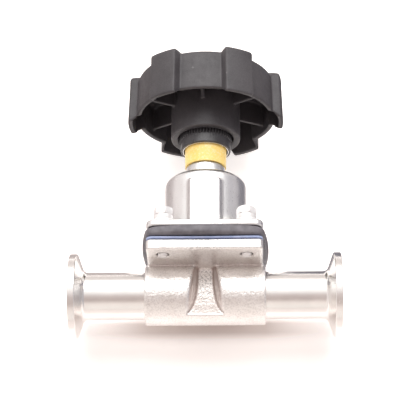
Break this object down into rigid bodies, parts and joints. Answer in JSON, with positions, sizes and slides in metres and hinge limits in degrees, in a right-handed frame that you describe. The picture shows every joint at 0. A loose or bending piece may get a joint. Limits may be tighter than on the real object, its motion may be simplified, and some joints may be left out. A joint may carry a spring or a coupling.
{
  "type": "diaphragm valve",
  "caption": "Straight weir-type hygienic diaphragm valve with clamp ferrules, a cylindrical bonnet, a position-indicator sleeve and a lobed handwheel.",
  "frame": {"origin": "where the flow axis crosses the stem axis, at the middle of the valve body", "axes": "+X along the flow axis from the inlet ferrule to the outlet ferrule, +Z along the stem axis towards the handwheel"},
  "size_m": [0.108, 0.0624, 0.1166],
  "materials": {
    "body_cast": "fine cast and blasted stainless steel, softly bright",
    "ferrule_steel": "turned and polished stainless steel",
    "face_film": "thin pale blue fluoropolymer film",
    "backing_rubber": "black moulded rubber, matt",
    "stem_steel": "turned stainless steel",
    "compressor_steel": "cast stainless steel",
    "bonnet_steel": "bright machined stainless steel, slightly satin",
    "nut_bronze": "machined bronze",
    "ring_rubber": "black rubber",
    "indicator_yellow": "yellow plastic, softly glossy",
    "handwheel_black": "black fibre-filled plastic with a fine moulded grain",
    "sleeve_black": "black plastic, slightly smoother than the handwheel",
    "fastener_steel": "bright stainless steel fasteners"
  },
  "bodies": {
    "valve_body": {"body": "body_cast", "inlet_ferrule": "ferrule_steel", "outlet_ferrule": "ferrule_steel", "diaphragm_face": "face_film", "diaphragm_backing": "backing_rubber", "bonnet": "bonnet_steel", "spindle_nut": "nut_bronze", "gland_o_ring": "ring_rubber", "indicator_sleeve": "indicator_yellow", "flange_screw_1": "fastener_steel", "flange_screw_2": "fastener_steel", "flange_screw_3": "fastener_steel", "flange_screw_4": "fastener_steel", "spring_washer_1": "fastener_steel", "spring_washer_2": "fastener_steel", "spring_washer_3": "fastener_steel", "spring_washer_4": "fastener_steel", "flat_washer_1": "fastener_steel", "flat_washer_2": "fastener_steel", "flat_washer_3": "fastener_steel", "flat_washer_4": "fastener_steel"},
    "presser": {"compressor": "compressor_steel", "diaphragm_stud": "stem_steel"},
    "wheel": {"spindle": "stem_steel", "stop_sleeve": "sleeve_black", "handwheel": "handwheel_black", "handwheel_washer": "fastener_steel", "handwheel_nut": "fastener_steel", "handwheel_cap": "sleeve_black"}
  },
  "joints": [
    {"name": "stem_lift", "type": "slide", "parent": "valve_body", "child": "presser", "axis": [0, 0, 1], "range_m": [-0.0062, 0], "deforming": ["diaphragm_face", "diaphragm_backing"]},
    {"name": "handwheel_turn", "type": "hinge", "parent": "presser", "child": "wheel", "pos_m": [0, 0, 0.06], "axis": [0, 0, 1], "range_deg": [-1080, 0]}
  ],
  "couplings": [
    {"joint": "stem_lift", "follows": "handwheel_turn", "m_per_rad": 0.00031831}
  ]
}
